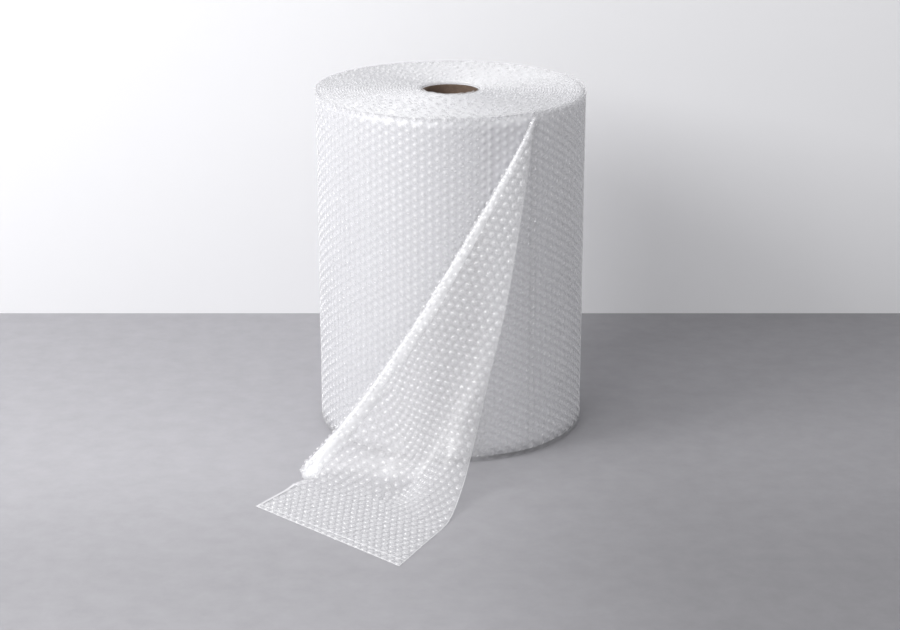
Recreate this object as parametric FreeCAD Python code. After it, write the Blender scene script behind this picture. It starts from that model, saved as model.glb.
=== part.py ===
"""A roll of bubble film standing on its end, with its loose end drawn down to the floor.

The wound film is one sheet on a paper core. Its last stretch leaves the roll as a standing wall, folds
softly over along a slanting hem and falls as a flap, whose end lies flat on the floor.

Frame: the origin is on the core's axis at the floor, +Z is up, and the loose end lies towards -X and -Y.
Angles on the roll are in degrees from the front, -Y, towards +X. Lengths are in millimetres.
"""

import FreeCAD, Part
import math
import os

# Core: a spiral-wound paper tube.
core_bore_radius = 38.0
core_wall = 4.0
core_top_recess = 4.0
core_clearance = 0.3

# Wound film: the web's width is the roll's height.
web_width = 500.0
roll_radius = 195.0
film_thickness = 4.0

# Ends of the roll: one groove shows for every few turns.
turns_per_groove = 4
groove_depth = 6.0
groove_width = 9.0
groove_margin = 5.0

# Where the film's last stretch leaves the roll, and how far it is drawn out along the floor.
leave_angle = 36.3
tangent_angle = 11.6
pull_out = 252.0
seat_depth = 1.0
hem_seat_depth = 2.5

# Slanting hem, where the film folds over: it sags under a straight line and swells towards the floor.
hem_sag = 32.0
hem_sag_shift = 1.4
hem_top_radius = 3.0
hem_foot_radius = 9.0
hem_end_radius = 2.2
bead_falling_side = 0.9
bead_foot_side = 0.0
bead_flat_side = -0.9
hem_top_drop = 6.0

# Floor part of the flap, in plan: directions in degrees from +X.
floor_lift = 0.4
left_edge_run = 106.0
left_edge_direction = -123.1
cut_end_width = 273.0
cut_end_direction = -43.5
touch_down_width = 249.0
touch_down_direction = -36.4

# Free edge of the flap: share of its way over the floor, along X and along Y, and of its height.
free_edge_shape = [
    (0.12, 0.12, 0.80),
    (0.33, 0.29, 0.50),
    (0.53, 0.41, 0.30),
    (0.68, 0.51, 0.15),
    (0.82, 0.69, 0.045),
]
flap_crown = 7.0

# The flap bellies forward over the crease where it comes to rest, and its free edge meets the floor later.
crease_share = 0.83
flap_belly = 36.0
settling_share = 0.5
flattening_share = 0.7

# Stations along the flap and corners round its outline.
falling_sections = 18
flat_sections = 6
bead_corners = 8
strip_corners = 8

# Worked out from the sizes above.
core_radius = core_bore_radius + core_wall
film_bore_radius = core_radius + core_clearance
inner_turn_radius = roll_radius - film_thickness
groove_pitch = turns_per_groove * film_thickness
wrapped_run = math.radians(leave_angle - tangent_angle) * roll_radius
hem_run = wrapped_run + pull_out
sheet_level = floor_lift + film_thickness / 2

UP = FreeCAD.Vector(0, 0, 1)


def from_front(angle, radius, height=0.0):
    """The point at an angle from the front, a radius and a height."""
    turn = math.radians(angle)
    return FreeCAD.Vector(radius * math.sin(turn), -radius * math.cos(turn), height)


def heading(direction, length):
    """A step over the floor in a direction measured from +X."""
    turn = math.radians(direction)
    return FreeCAD.Vector(length * math.cos(turn), length * math.sin(turn), 0)


def half_turn(center_x, radius, side):
    """Half a circle about a centre on the X axis, on one side of it, from right to left."""
    right = FreeCAD.Vector(center_x + radius, 0, 0)
    middle = FreeCAD.Vector(center_x, side * radius, 0)
    left = FreeCAD.Vector(center_x - radius, 0, 0)
    return Part.Arc(right, middle, left).toShape()


def turn_to_leave_angle(shape):
    """Turns a shape so that the +X axis, where a turn starts, comes to the leave angle."""
    shape.rotate(FreeCAD.Vector(0, 0, 0), UP, leave_angle - 90)
    return shape


def wound_cylinder():
    """The roll without its ends' grooves: its outside is one turn of a spiral, one film thick at the step."""
    quarter = film_thickness / 4
    near = half_turn(-quarter, inner_turn_radius + quarter, -1)
    far = half_turn(quarter, roll_radius - quarter, 1)
    step = Part.makeLine(FreeCAD.Vector(inner_turn_radius, 0, 0), FreeCAD.Vector(roll_radius, 0, 0))
    outline = Part.Face(Part.Wire(Part.__sortEdges__([near, far, step])))
    roll = turn_to_leave_angle(outline).extrude(UP * web_width)
    bore = Part.makeCylinder(film_bore_radius, web_width + 2, FreeCAD.Vector(0, 0, -1))
    return roll.cut(bore)


def half_groove(center_x, radius, side, face_height, inward):
    """Half a turn of a groove with a V section, cut into an end of the roll."""
    overshoot = 1.0
    half_mouth = groove_width / 2 * (1 + overshoot / groove_depth)
    mouth_height = face_height - inward * overshoot
    bottom_height = face_height + inward * groove_depth
    corners = [
        FreeCAD.Vector(center_x + radius - half_mouth, 0, mouth_height),
        FreeCAD.Vector(center_x + radius + half_mouth, 0, mouth_height),
        FreeCAD.Vector(center_x + radius, 0, bottom_height),
    ]
    section = Part.Face(Part.makePolygon(corners + corners[:1]))
    return section.revolve(FreeCAD.Vector(center_x, 0, 0), UP, side * 180)


def end_grooves(face_height, inward):
    """The spiral groove of one end, as half turns about two centres, each half a pitch wider than the last."""
    offset = groove_pitch / 4
    first_radius = film_bore_radius + groove_margin + groove_width / 2 + offset
    last_radius = inner_turn_radius - groove_margin - groove_width / 2 - offset
    half_turns = int((last_radius - first_radius) / (groove_pitch / 2)) + 1
    grooves = []
    for index in range(half_turns):
        side = -1 if index % 2 == 0 else 1
        radius = first_radius + index * groove_pitch / 2
        grooves.append(half_groove(side * offset, radius, side, face_height, inward))
    return [turn_to_leave_angle(groove) for groove in grooves]


def wall_place(run):
    """Place and outward direction on the outside of the leaving film, a run away from where it leaves."""
    if run <= wrapped_run:
        angle = leave_angle - math.degrees(run / roll_radius)
        return from_front(angle, roll_radius), from_front(angle, 1.0)
    outward = from_front(tangent_angle, 1.0)
    along = from_front(tangent_angle - 90, 1.0)
    return outward * roll_radius + along * (run - wrapped_run), outward


def hem_radius(share):
    """Radius of the hem at a share of its run from the rim to the floor."""
    return hem_top_radius + (hem_foot_radius - hem_top_radius) * math.sqrt(share)


def hem_center(share):
    """Centre of the hem at a share of its run: a slanting line with a sag, seated on the film behind it."""
    place, outward = wall_place(share * hem_run)
    top = web_width - hem_top_drop
    foot = floor_lift + hem_foot_radius
    height = top + (foot - top) * share - hem_sag * math.sin(math.pi * share ** hem_sag_shift)
    return place + outward * (hem_radius(share) - hem_seat_depth) + UP * height


def leaving_band():
    """Plan of the film between the rim's leaving point and the hem's foot, seated in the turn under it."""
    along = from_front(tangent_angle - 90, 1.0)
    inner_radius = inner_turn_radius - seat_depth
    middle_angle = (leave_angle + tangent_angle) / 2
    outer_foot = from_front(tangent_angle, roll_radius) + along * pull_out
    inner_foot = from_front(tangent_angle, inner_turn_radius) + along * pull_out
    inner_end = from_front(tangent_angle, inner_turn_radius)
    edges = [
        Part.Arc(from_front(leave_angle, roll_radius), from_front(middle_angle, roll_radius),
                 from_front(tangent_angle, roll_radius)).toShape(),
        Part.makeLine(from_front(tangent_angle, roll_radius), outer_foot),
        Part.makeLine(outer_foot, inner_foot),
        Part.makeLine(inner_foot, inner_end),
        Part.makeLine(inner_end, from_front(tangent_angle, inner_radius)),
        Part.Arc(from_front(tangent_angle, inner_radius), from_front(middle_angle, inner_radius),
                 from_front(leave_angle, inner_radius)).toShape(),
        Part.makeLine(from_front(leave_angle, inner_radius), from_front(leave_angle, roll_radius)),
    ]
    return Part.Face(Part.Wire(edges))


def above_hem():
    """Everything over the hem as seen from the front, which the leaving film does not reach."""
    samples = 8
    line = [hem_center(index / samples) for index in range(samples + 1)]
    back = FreeCAD.Vector(0, roll_radius, 0)
    points = [FreeCAD.Vector(point.x, 0, point.z) - back * 3 for point in line]
    curve = Part.BSplineCurve()
    curve.interpolate(points)
    over = 2 * web_width
    beyond = points[-1] - FreeCAD.Vector(pull_out, 0, 0)
    top_left = FreeCAD.Vector(beyond.x, beyond.y, over)
    top_right = FreeCAD.Vector(points[0].x, points[0].y, over)
    lines = Part.makePolygon([points[-1], beyond, top_left, top_right, points[0]]).Edges
    return Part.Face(Part.Wire([curve.toShape()] + lines)).extrude(back * 3)


def standing_wall():
    """The leaving film: it stands on its lower edge from the roll to the hem's foot."""
    return leaving_band().extrude(UP * web_width).cut(above_hem())


def floor_corners():
    """The flap's flat part: its corners on the left, at the cut end, and where the free edge touches down."""
    foot = hem_center(1.0)
    foot.z = sheet_level
    left = foot + heading(left_edge_direction, left_edge_run)
    front = left + heading(cut_end_direction, cut_end_width)
    touch = foot + heading(touch_down_direction, touch_down_width)
    return left, front, touch


def free_edge():
    """The flap's free edge through the air, from the rim down to where it touches the floor."""
    start = hem_center(0.0)
    left, front, touch = floor_corners()
    span = touch - start
    points = [start]
    for share_x, share_y, share_height in free_edge_shape:
        height = touch.z - span.z * share_height
        points.append(FreeCAD.Vector(start.x + span.x * share_x, start.y + span.y * share_y, height))
    curve = Part.BSplineCurve()
    curve.interpolate(Points=points + [touch], FinalTangent=front - touch, InitialTangent=points[1] - start)
    return curve


def free_place(curve, run):
    """Place on the flap's free side, a run away from the rim: down through the air, then over the floor."""
    if run <= curve.Length:
        return curve.valueAt(curve.getParameterByLength(run))
    left, front, touch = floor_corners()
    return touch + (front - touch).normalize() * (run - curve.Length)


def flap_edges():
    """Matching points along the flap's held and free sides: down to the crease, then on to the cut end."""
    left, front, touch = floor_corners()
    curve = free_edge().toShape()
    crease_run = curve.Length * crease_share
    floor_run = curve.Length + (front - touch).Length - crease_run
    held, free = [], []
    for index in range(falling_sections + 1):
        held.append(hem_center(index / falling_sections))
        free.append(free_place(curve, crease_run * index / falling_sections))
    foot = held[-1]
    for index in range(1, flat_sections + 1):
        share = index / flat_sections
        place = foot + (left - foot) * share
        place.z = floor_lift + bead_form(falling_sections + index)[0]
        held.append(place)
        free.append(free_place(curve, crease_run + floor_run * share))
    free[0] = held[0] + (free[1] - held[1]).normalize() * hem_top_radius * 2
    return held, free


def ease(value):
    """Goes smoothly from 0 to 1 as the value does, and stays there outside."""
    value = min(max(value, 0), 1)
    return value * value * (3 - 2 * value)


def hang(row, share, held, free):
    """How far a strip of the flap hangs from the straight line between its two sides.

    The row is 0 at the rim, 1 at the crease and 2 at the cut end.
    """
    bow = math.sin(math.pi * share)
    settled = ease((row - settling_share) / (1 - settling_share))
    forward = settled if row <= 1 else 1 - ease((row - 1) / flattening_share)
    straight = held.z + (free.z - held.z) * share
    low = sheet_level + (held.z - sheet_level) * max(1 - share / 0.3, 0) ** 2
    low += (free.z - sheet_level) * ease(2 * share - 1)
    return FreeCAD.Vector(0, -flap_belly * bow * forward, (low - straight) * settled)


def flap_outline(row, held, free, ahead, bead_radius, bead_side):
    """Corners of a strip of film across the flap, with a slight crown and a round bead at its held edge."""
    across = (free - held).normalize()
    out = across.cross(ahead).normalize()
    if out.z - out.y < 0:
        out = out * -1
    half = film_thickness / 2
    offset = bead_side * (bead_radius - half)
    outer_start = math.asin(min((offset + half) / bead_radius, 1))
    inner_start = math.asin(max((offset - half) / bead_radius, -1)) + 2 * math.pi
    corners = []
    for index in range(bead_corners + 1):
        turn = outer_start + (inner_start - outer_start) * index / bead_corners
        corners.append(held + across * (bead_radius * math.cos(turn)) + out * (bead_radius * math.sin(turn)))
    inner_end, outer_end = free - out * half, free + out * half
    crown = flap_crown * math.sin(math.pi * max(1 - row, 0))
    inner, outer = [], []
    for index in range(1, strip_corners + 1):
        share = index / strip_corners
        shift = out * (4 * crown * share * (1 - share)) + hang(row, share, held, free)
        inner.append(corners[-1] + (inner_end - corners[-1]) * share + shift)
        outer.append(corners[0] + (outer_end - corners[0]) * share + shift)
    outline = corners + inner + outer[::-1]
    for corner in outline:
        corner.z = max(corner.z, floor_lift)
    return outline


def triangle(first, second, third):
    """A flat face between three corners."""
    return Part.Face(Part.makePolygon([first, second, third, first]))


def end_cap(outline):
    """Triangles that close one end of the flap: a fan in the bead, then pairs across the strip."""
    faces = []
    for index in range(1, bead_corners):
        faces.append(triangle(outline[0], outline[index], outline[index + 1]))
    for index in range(strip_corners):
        inner, inner_next = outline[bead_corners + index], outline[bead_corners + index + 1]
        outer, outer_next = outline[-index], outline[-index - 1]
        faces += [triangle(inner, inner_next, outer_next), triangle(inner, outer_next, outer)]
    return faces


def solid_through(outlines):
    """A solid with flat facets through closed outlines that have as many corners each."""
    faces = end_cap(outlines[0]) + end_cap(outlines[-1])
    count = len(outlines[0])
    for first, second in zip(outlines, outlines[1:]):
        for index in range(count):
            after = (index + 1) % count
            faces.append(triangle(first[index], first[after], second[index]))
            faces.append(triangle(first[after], second[after], second[index]))
    return Part.Solid(Part.Shell(faces))


def bead_form(index):
    """Radius of the hem's bead at a station, and the face of the film that it rolls to: 1 out, -1 down."""
    if index <= falling_sections:
        share = index / falling_sections
        return hem_radius(share), bead_falling_side + (bead_foot_side - bead_falling_side) * share ** 8
    share = (index - falling_sections) / flat_sections
    radius = hem_foot_radius + (hem_end_radius - hem_foot_radius) * math.sqrt(share)
    return radius, bead_flat_side


def flap():
    """The falling flap and its flat end, with the soft hem along its held edge, from the rim to the cut end."""
    held, free = flap_edges()
    last = len(held) - 1
    outlines = []
    for index in range(last + 1):
        before, after = max(index - 1, 0), min(index + 1, last)
        ahead = held[after] + free[after] - held[before] - free[before]
        row = index / falling_sections
        if index > falling_sections:
            row = 1 + (index - falling_sections) / flat_sections
        radius, side = bead_form(index)
        outlines.append(flap_outline(row, held[index], free[index], ahead, radius, side))
    return solid_through(outlines)


def bubble_film():
    """The wound film with its loose end, as one solid."""
    roll = wound_cylinder()
    roll = roll.cut(Part.makeCompound(end_grooves(web_width, -1) + end_grooves(0, 1)))
    return roll.fuse(standing_wall()).fuse(flap()).removeSplitter()


def core_tube():
    """The paper core, flush with the floor and a little short of the film's upper end."""
    height = web_width - core_top_recess
    return Part.makeCylinder(core_radius, height).cut(Part.makeCylinder(core_bore_radius, height))


def main():
    """Builds each sub-part and writes it to its own file."""
    os.makedirs("parts", exist_ok=True)
    for name, build in (("bubble_film", bubble_film), ("core_tube", core_tube)):
        shape = build()
        shape.exportStep(os.path.join("parts", name + ".step"))
        print(name, "solids", len(shape.Solids), "valid", shape.isValid(), "volume", round(shape.Volume))


main()
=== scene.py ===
"""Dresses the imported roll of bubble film: clear film round a paper core, with its loose end pulled out.

The film is a flat layer with formed bubbles on one side. On the roll the bubbles point to the core, and on
the flap, where the web is folded over, they point outwards. All lengths are metres in the CAD's own frame:
the core stands on the origin, +Z is up and the loose end lies towards -X and -Y.
"""

import logging
import math
from dataclasses import dataclass, field
from enum import Enum
from typing import Any, Sequence

import bmesh
import bpy
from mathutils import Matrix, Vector, noise


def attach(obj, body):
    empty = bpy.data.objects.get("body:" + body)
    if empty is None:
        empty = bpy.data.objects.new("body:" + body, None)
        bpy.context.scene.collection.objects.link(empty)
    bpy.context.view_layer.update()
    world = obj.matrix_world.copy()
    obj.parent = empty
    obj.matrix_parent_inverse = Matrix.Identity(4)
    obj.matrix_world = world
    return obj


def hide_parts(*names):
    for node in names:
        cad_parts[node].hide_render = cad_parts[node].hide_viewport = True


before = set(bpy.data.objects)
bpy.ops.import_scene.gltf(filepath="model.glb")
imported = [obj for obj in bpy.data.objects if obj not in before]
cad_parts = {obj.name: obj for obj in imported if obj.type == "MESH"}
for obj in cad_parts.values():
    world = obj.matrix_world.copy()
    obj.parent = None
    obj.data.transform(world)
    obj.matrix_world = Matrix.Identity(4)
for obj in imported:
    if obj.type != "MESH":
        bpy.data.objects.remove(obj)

log = logging.getLogger("bubble_film_roll")

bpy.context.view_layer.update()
MM = 0.001
COLOR_A, COLOR_B, COLOR_OUT = 6, 7, 2
UP = Vector((0.0, 0.0, 1.0))
SPAN_STEPS = 16
CRINKLE_SEED = 1


def linear(hex_color: str, alpha: float = 1.0) -> tuple[float, float, float, float]:
    """Turns an sRGB hex colour to the linear values that a shader socket takes.

    Args:
        hex_color: Six hex digits, with or without a leading hash.
        alpha: The fourth value.

    Returns:
        Red, green, blue and alpha.
    """
    digits = hex_color.lstrip("#")
    parts = [int(digits[i:i + 2], 16) / 255 for i in (0, 2, 4)]
    red, green, blue = [c / 12.92 if c <= 0.04045 else ((c + 0.055) / 1.055) ** 2.4 for c in parts]
    return red, green, blue, alpha


def add_node(tree: bpy.types.NodeTree, kind: str, links: dict[str | int, Any] | None = None,
             values: dict[str | int, Any] | None = None, **settings: Any) -> bpy.types.Node:
    """Adds one node with its settings, socket values and links.

    Args:
        tree: The node tree that gets the node.
        kind: The node's type name.
        links: Output sockets that feed the node's inputs, by input name or number.
        values: Constants for the node's inputs, by input name or number.
        settings: The node's own properties.

    Returns:
        The new node.
    """
    node = tree.nodes.new(kind)
    for name, value in settings.items():
        setattr(node, name, value)
    for name, value in (values or {}).items():
        node.inputs[name].default_value = value
    for name, socket in (links or {}).items():
        tree.links.new(socket, node.inputs[name])
    return node


def mesh_object(name: str, points: Sequence[Vector], faces: Sequence[Sequence[int]],
                uvs: Sequence[tuple[float, float]] | None = None) -> bpy.types.Object:
    """Makes a smooth mesh object at the origin.

    Args:
        name: The object's name.
        points: Vertex places.
        faces: Vertex numbers of each face, counter-clockwise from outside.
        uvs: Web coordinates of each vertex, in millimetres, kept as the UV map.

    Returns:
        The new object.
    """
    mesh = bpy.data.meshes.new(name)
    mesh.from_pydata([tuple(p) for p in points], [], [tuple(f) for f in faces])
    mesh.polygons.foreach_set("use_smooth", [True] * len(mesh.polygons))
    if uvs is not None:
        layer = mesh.uv_layers.new(name="web")
        flat = []
        for loop in mesh.loops:
            flat.extend(uvs[loop.vertex_index])
        layer.data.foreach_set("uv", flat)
    mesh.validate()
    mesh.update()
    piece = bpy.data.objects.new(name, mesh)
    bpy.context.scene.collection.objects.link(piece)
    return piece


def grid_faces(rows: int, columns: int) -> list[tuple[int, int, int, int]]:
    """Quads of a grid whose vertices are stored row by row.

    Args:
        rows: Number of rows of vertices.
        columns: Number of vertices in each row.

    Returns:
        Vertex numbers of each quad.
    """
    faces = []
    for r in range(rows - 1):
        for c in range(columns - 1):
            a, b = r * columns + c, r * columns + c + 1
            faces.append((a, b, b + columns, a + columns))
    return faces


def dress(piece: bpy.types.Object, material: bpy.types.Material) -> bpy.types.Object:
    """Gives a piece its material and its place in the frame, under the root body, and logs its number of
    faces.

    Args:
        piece: The finished mesh object.
        material: The finish that covers it.

    Returns:
        The same piece.
    """
    piece.data.materials.clear()
    piece.data.materials.append(material)
    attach(piece, "root")
    log.info("%s: %d faces", piece.name, len(piece.data.polygons))
    return piece


def weld(piece: bpy.types.Object, gap: float = 0.01 * MM) -> None:
    """Joins the points of a mesh that lie on each other.

    Args:
        piece: The object whose mesh is changed.
        gap: The largest distance that is closed.
    """
    work = bmesh.new()
    work.from_mesh(piece.data)
    bmesh.ops.remove_doubles(work, verts=work.verts, dist=gap)
    work.to_mesh(piece.data)
    work.free()


def face_out(piece: bpy.types.Object) -> None:
    """Turns the faces of a mesh outwards.

    Args:
        piece: The object whose mesh is changed.
    """
    work = bmesh.new()
    work.from_mesh(piece.data)
    bmesh.ops.recalc_face_normals(work, faces=work.faces)
    work.to_mesh(piece.data)
    work.free()


def new_material(name: str) -> tuple[bpy.types.Material, bpy.types.NodeTree]:
    """Makes a material with an empty node tree.

    Args:
        name: The material's name.

    Returns:
        The material and its tree.
    """
    made = bpy.data.materials.new(name)
    made.use_nodes = True
    made.node_tree.nodes.clear()
    return made, made.node_tree


def ease(value: float) -> float:
    """Goes smoothly from 0 to 1 as the value does, and stays there outside."""
    value = min(max(value, 0.0), 1.0)
    return value * value * (3 - 2 * value)


def ripple(place: Vector, size: float, depth: float) -> Vector:
    """A soft unevenness of the given size and depth that differs from place to place."""
    return noise.noise_vector(place / size) * depth


class RollEnd(Enum):
    """The roll's two flat ends, with the direction that each looks in."""

    UPPER = 1.0
    LOWER = -1.0

    def level(self, depth: float, width: float) -> float:
        """The height that lies a depth inside this end of a roll of the given width."""
        return width - depth if self is RollEnd.UPPER else depth


@dataclass(frozen=True)
class Lattice:
    """Close-packed bubbles of the web: columns run across the web, and each second one is set off by half.

    A bubble's rim is sunk a little into the flat layer, so that no gap shows between them.
    """

    pitch: float = 12.4 * MM
    radius: float = 4.9 * MM
    height: float = 3.4 * MM
    sunk: float = 0.1 * MM

    @property
    def column_pitch(self) -> float:
        """Distance from one column to the next, along the web."""
        return self.pitch * math.sqrt(3) / 2

    def centers(self, along: tuple[float, float], across: tuple[float, float]) -> list[tuple[float, float]]:
        """Bubble centres in a stretch of the web.

        Args:
            along: First and last place along the web.
            across: First and last place across the web.

        Returns:
            Places (along, across), in metres.
        """
        found = []
        first = math.ceil(along[0] / self.column_pitch)
        last = math.floor(along[1] / self.column_pitch)
        for column in range(first, last + 1):
            shift = self.pitch / 2 if column % 2 else 0.0
            low = math.ceil((across[0] - shift) / self.pitch)
            high = math.floor((across[1] - shift) / self.pitch)
            for step in range(low, high + 1):
                found.append((column * self.column_pitch, step * self.pitch + shift))
        return found


@dataclass(frozen=True)
class ClearFilm:
    """Low-density polyethylene, blown and laminated: clear, glossy, with a faint milky haze.

    The opacity stands for the haze and for the light that both faces throw back, and it dims the shine
    too, so the IOR is above the film's own 1.51 by as much. rim_opacity is that of a bubble's steep side,
    which is seen edge-on, and pressed says how far the bubbles' outlines stand out in the flat layer.
    """

    name: str
    color: str
    opacity: float
    roughness: float
    ior: float = 2.1
    rim_opacity: float | None = None
    coat: float = 0.0
    pressed: float = 0.0
    wrinkle: float = 0.25
    wrinkle_size: float = 9.0 * MM
    wrinkle_depth: float = 0.6 * MM
    press_depth: float = 1.6 * MM
    coat_roughness: float = 0.1

    def material(self, lattice: Lattice) -> bpy.types.Material:
        """Builds the film's material; fine wrinkles in the bump make its highlights sparkle.

        Args:
            lattice: The spacing of the outlines that are pressed into the flat layer.

        Returns:
            The material.
        """
        made, tree = new_material(self.name)
        place = add_node(tree, "ShaderNodeTexCoord")
        # Wrinkles 5 to 9 mm long, which break the shine into short streaks, so the film looks thin and slack.
        ripples = add_node(tree, "ShaderNodeTexNoise", {"Vector": place.outputs["Object"]},
                           {"Scale": 1.0 / self.wrinkle_size, "Detail": 3.0, "Roughness": 0.55})
        bump = add_node(tree, "ShaderNodeBump", {"Height": ripples.outputs["Fac"]},
                        {"Strength": self.wrinkle, "Distance": self.wrinkle_depth})
        if self.pressed > 0:
            # The bubbles' round outlines, 12.4 mm apart, which catch the light in the flat layer.
            web = add_node(tree, "ShaderNodeUVMap", uv_map="web")
            held = add_node(tree, "ShaderNodeAttribute", attribute_name="pressed")
            outlines = add_node(tree, "ShaderNodeMath", {0: bubble_spots(tree, web.outputs["UV"], lattice),
                                                         1: held.outputs["Fac"]}, operation="MULTIPLY")
            bump = add_node(tree, "ShaderNodeBump", {"Height": outlines.outputs["Value"],
                                                     "Normal": bump.outputs["Normal"]},
                            {"Strength": self.pressed, "Distance": self.press_depth})
        # Duller and glossier spots, which keep the shine from looking like glass.
        haze = add_node(tree, "ShaderNodeMapRange", {"Value": ripples.outputs["Fac"]},
                        {"From Min": 0.3, "From Max": 0.7, "To Min": self.roughness * 0.8,
                         "To Max": self.roughness * 1.3})
        shader = add_node(tree, "ShaderNodeBsdfPrincipled",
                          {"Normal": bump.outputs["Normal"], "Roughness": haze.outputs["Result"]},
                          {"Base Color": linear(self.color), "IOR": self.ior, "Alpha": self.opacity,
                           "Coat Weight": self.coat, "Coat Roughness": self.coat_roughness,
                           "Coat IOR": self.ior})
        if self.rim_opacity is not None:
            # A milkier steep side and a clear top, which make each bubble read as a round, hollow blister.
            # The milkier side is partly the haze of film seen edge-on and partly a painted reflection, the
            # bright sheen that such a side throws back.
            rim = add_node(tree, "ShaderNodeAttribute", attribute_name="rim")
            seen = add_node(tree, "ShaderNodeMapRange", {"Value": rim.outputs["Fac"]},
                            {"To Min": self.opacity, "To Max": self.rim_opacity})
            tree.links.new(seen.outputs["Result"], shader.inputs["Alpha"])
        add_node(tree, "ShaderNodeOutputMaterial", {"Surface": shader.outputs["BSDF"]})
        return made


@dataclass(frozen=True)
class WoundDepth:
    """The turns under the outermost one: many layers of clear film, which together look white and soft.

    The IOR is above the film's own 1.51, as each layer of the stack throws some light back. The cloud's
    size is in the millimetres of the web's UV map.
    """

    name: str = "wound_film_painted_bubble_light_and_shade"
    # light is the painted highlight on the bubbles of the turn below, and shade is the painted shade in the
    # gaps between them.
    light: str = "#FAFAFC"
    shade: str = "#CFCFD3"
    roughness: float = 0.46
    ior: float = 2.3
    cloud: float = 50.0
    spot_depth: float = 1.5 * MM

    def material(self, lattice: Lattice) -> bpy.types.Material:
        """Builds the material; the next turn's bubbles are painted as lighter round spots, a painted
        highlight, on a greyer ground, painted shade between them.

        Args:
            lattice: The bubbles' spacing.

        Returns:
            The material.
        """
        made, tree = new_material(self.name)
        web = add_node(tree, "ShaderNodeUVMap", uv_map="web")
        spots = bubble_spots(tree, web.outputs["UV"], lattice)
        # Clouds 50 mm wide, which show that the turns below lie closer in some places than in others.
        soft = add_node(tree, "ShaderNodeTexNoise", {"Vector": web.outputs["UV"]},
                        {"Scale": 1 / self.cloud, "Detail": 2.0})
        tone = add_node(tree, "ShaderNodeMath", {0: spots, 1: soft.outputs["Fac"]}, {2: -0.1},
                        operation="MULTIPLY_ADD")
        # Painted highlight on each bubble and painted shade between the bubbles, mixed by the spots.
        blend = add_node(tree, "ShaderNodeMix", {0: tone.outputs["Value"]},
                         {COLOR_A: linear(self.shade), COLOR_B: linear(self.light)}, data_type="RGBA")
        bump = add_node(tree, "ShaderNodeBump", {"Height": spots},
                        {"Strength": 0.5, "Distance": self.spot_depth})
        shader = add_node(tree, "ShaderNodeBsdfPrincipled",
                          {"Base Color": blend.outputs[COLOR_OUT], "Normal": bump.outputs["Normal"]},
                          {"Roughness": self.roughness, "IOR": self.ior})
        add_node(tree, "ShaderNodeOutputMaterial", {"Surface": shader.outputs["BSDF"]})
        return made


def bubble_spots(tree: bpy.types.NodeTree, web: bpy.types.NodeSocket,
                 lattice: Lattice) -> bpy.types.NodeSocket:
    """Height of round spots on the web's lattice, from a UV map in millimetres.

    Args:
        tree: The material's node tree.
        web: Socket with the web coordinates.
        lattice: The bubbles' spacing.

    Returns:
        A socket that is 1 at a bubble's centre and 0 outside it.
    """
    column, half = lattice.column_pitch / MM, lattice.pitch / MM / 2
    distances = []
    for shift in ((0.0, 0.0, 0.0), (column, half, 0.0)):
        moved = add_node(tree, "ShaderNodeVectorMath", {0: web}, {1: shift}, operation="SUBTRACT")
        near = add_node(tree, "ShaderNodeVectorMath", {0: moved.outputs["Vector"]},
                        {1: (column, half, 1), 2: (-column, -half, -1)}, operation="WRAP")
        size = add_node(tree, "ShaderNodeVectorMath", {0: near.outputs["Vector"]}, operation="LENGTH")
        distances.append(size.outputs["Value"])
    closest = add_node(tree, "ShaderNodeMath", {0: distances[0], 1: distances[1]}, operation="MINIMUM")
    height = add_node(tree, "ShaderNodeMapRange", {"Value": closest.outputs["Value"]},
                      {"From Min": lattice.radius / MM * 1.1, "From Max": 0.0, "To Min": 0.0, "To Max": 1.0},
                      interpolation_type="SMOOTHSTEP")
    return height.outputs["Result"]


@dataclass(frozen=True)
class SlitEnd:
    """The wound layers' slit edges: white and soft, with a fine grain and rings a film's height apart."""

    name: str = "slit_end_of_polyethylene_film"
    light: str = "#E8E8EA"
    shade: str = "#D5D5D8"
    grain: float = 5.0 * MM
    ring_strength: float = 0.10
    depth: float = 1.2 * MM
    roughness: float = 0.5

    def material(self, film: float) -> bpy.types.Material:
        """Builds the material.

        Args:
            film: Height of one wound turn, from ring to ring.

        Returns:
            The material.
        """
        made, tree = new_material(self.name)
        place = add_node(tree, "ShaderNodeTexCoord")
        # A grain 5 mm wide, which gives the eye the crumpled slit edges.
        grain = add_node(tree, "ShaderNodeTexNoise", {"Vector": place.outputs["Object"]},
                         {"Scale": 1.0 / self.grain, "Detail": 3.0, "Roughness": 0.6})
        # Rings 4 mm apart, which let the single turns be counted.
        flat = add_node(tree, "ShaderNodeVectorMath", {0: place.outputs["Object"]}, {1: (1.0, 1.0, 0.0)},
                        operation="MULTIPLY")
        reach = add_node(tree, "ShaderNodeVectorMath", {0: flat.outputs["Vector"]}, operation="LENGTH")
        turn = add_node(tree, "ShaderNodeMath", {0: reach.outputs["Value"]}, {1: math.tau / film},
                        operation="MULTIPLY")
        ring = add_node(tree, "ShaderNodeMath", {0: turn.outputs["Value"]}, operation="SINE")
        tone = add_node(tree, "ShaderNodeMath", {0: ring.outputs["Value"], 2: grain.outputs["Fac"]},
                        {1: self.ring_strength}, operation="MULTIPLY_ADD")
        spread = add_node(tree, "ShaderNodeMapRange", {"Value": tone.outputs["Value"]},
                          {"From Min": 0.3, "From Max": 0.65})
        blend = add_node(tree, "ShaderNodeMix", {0: spread.outputs["Result"]},
                         {COLOR_A: linear(self.shade), COLOR_B: linear(self.light)}, data_type="RGBA")
        bump = add_node(tree, "ShaderNodeBump", {"Height": tone.outputs["Value"]},
                        {"Strength": 0.5, "Distance": self.depth})
        shader = add_node(tree, "ShaderNodeBsdfPrincipled",
                          {"Base Color": blend.outputs[COLOR_OUT], "Normal": bump.outputs["Normal"]},
                          {"Roughness": self.roughness, "IOR": 1.51})
        add_node(tree, "ShaderNodeOutputMaterial", {"Surface": shader.outputs["BSDF"]})
        return made


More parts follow.
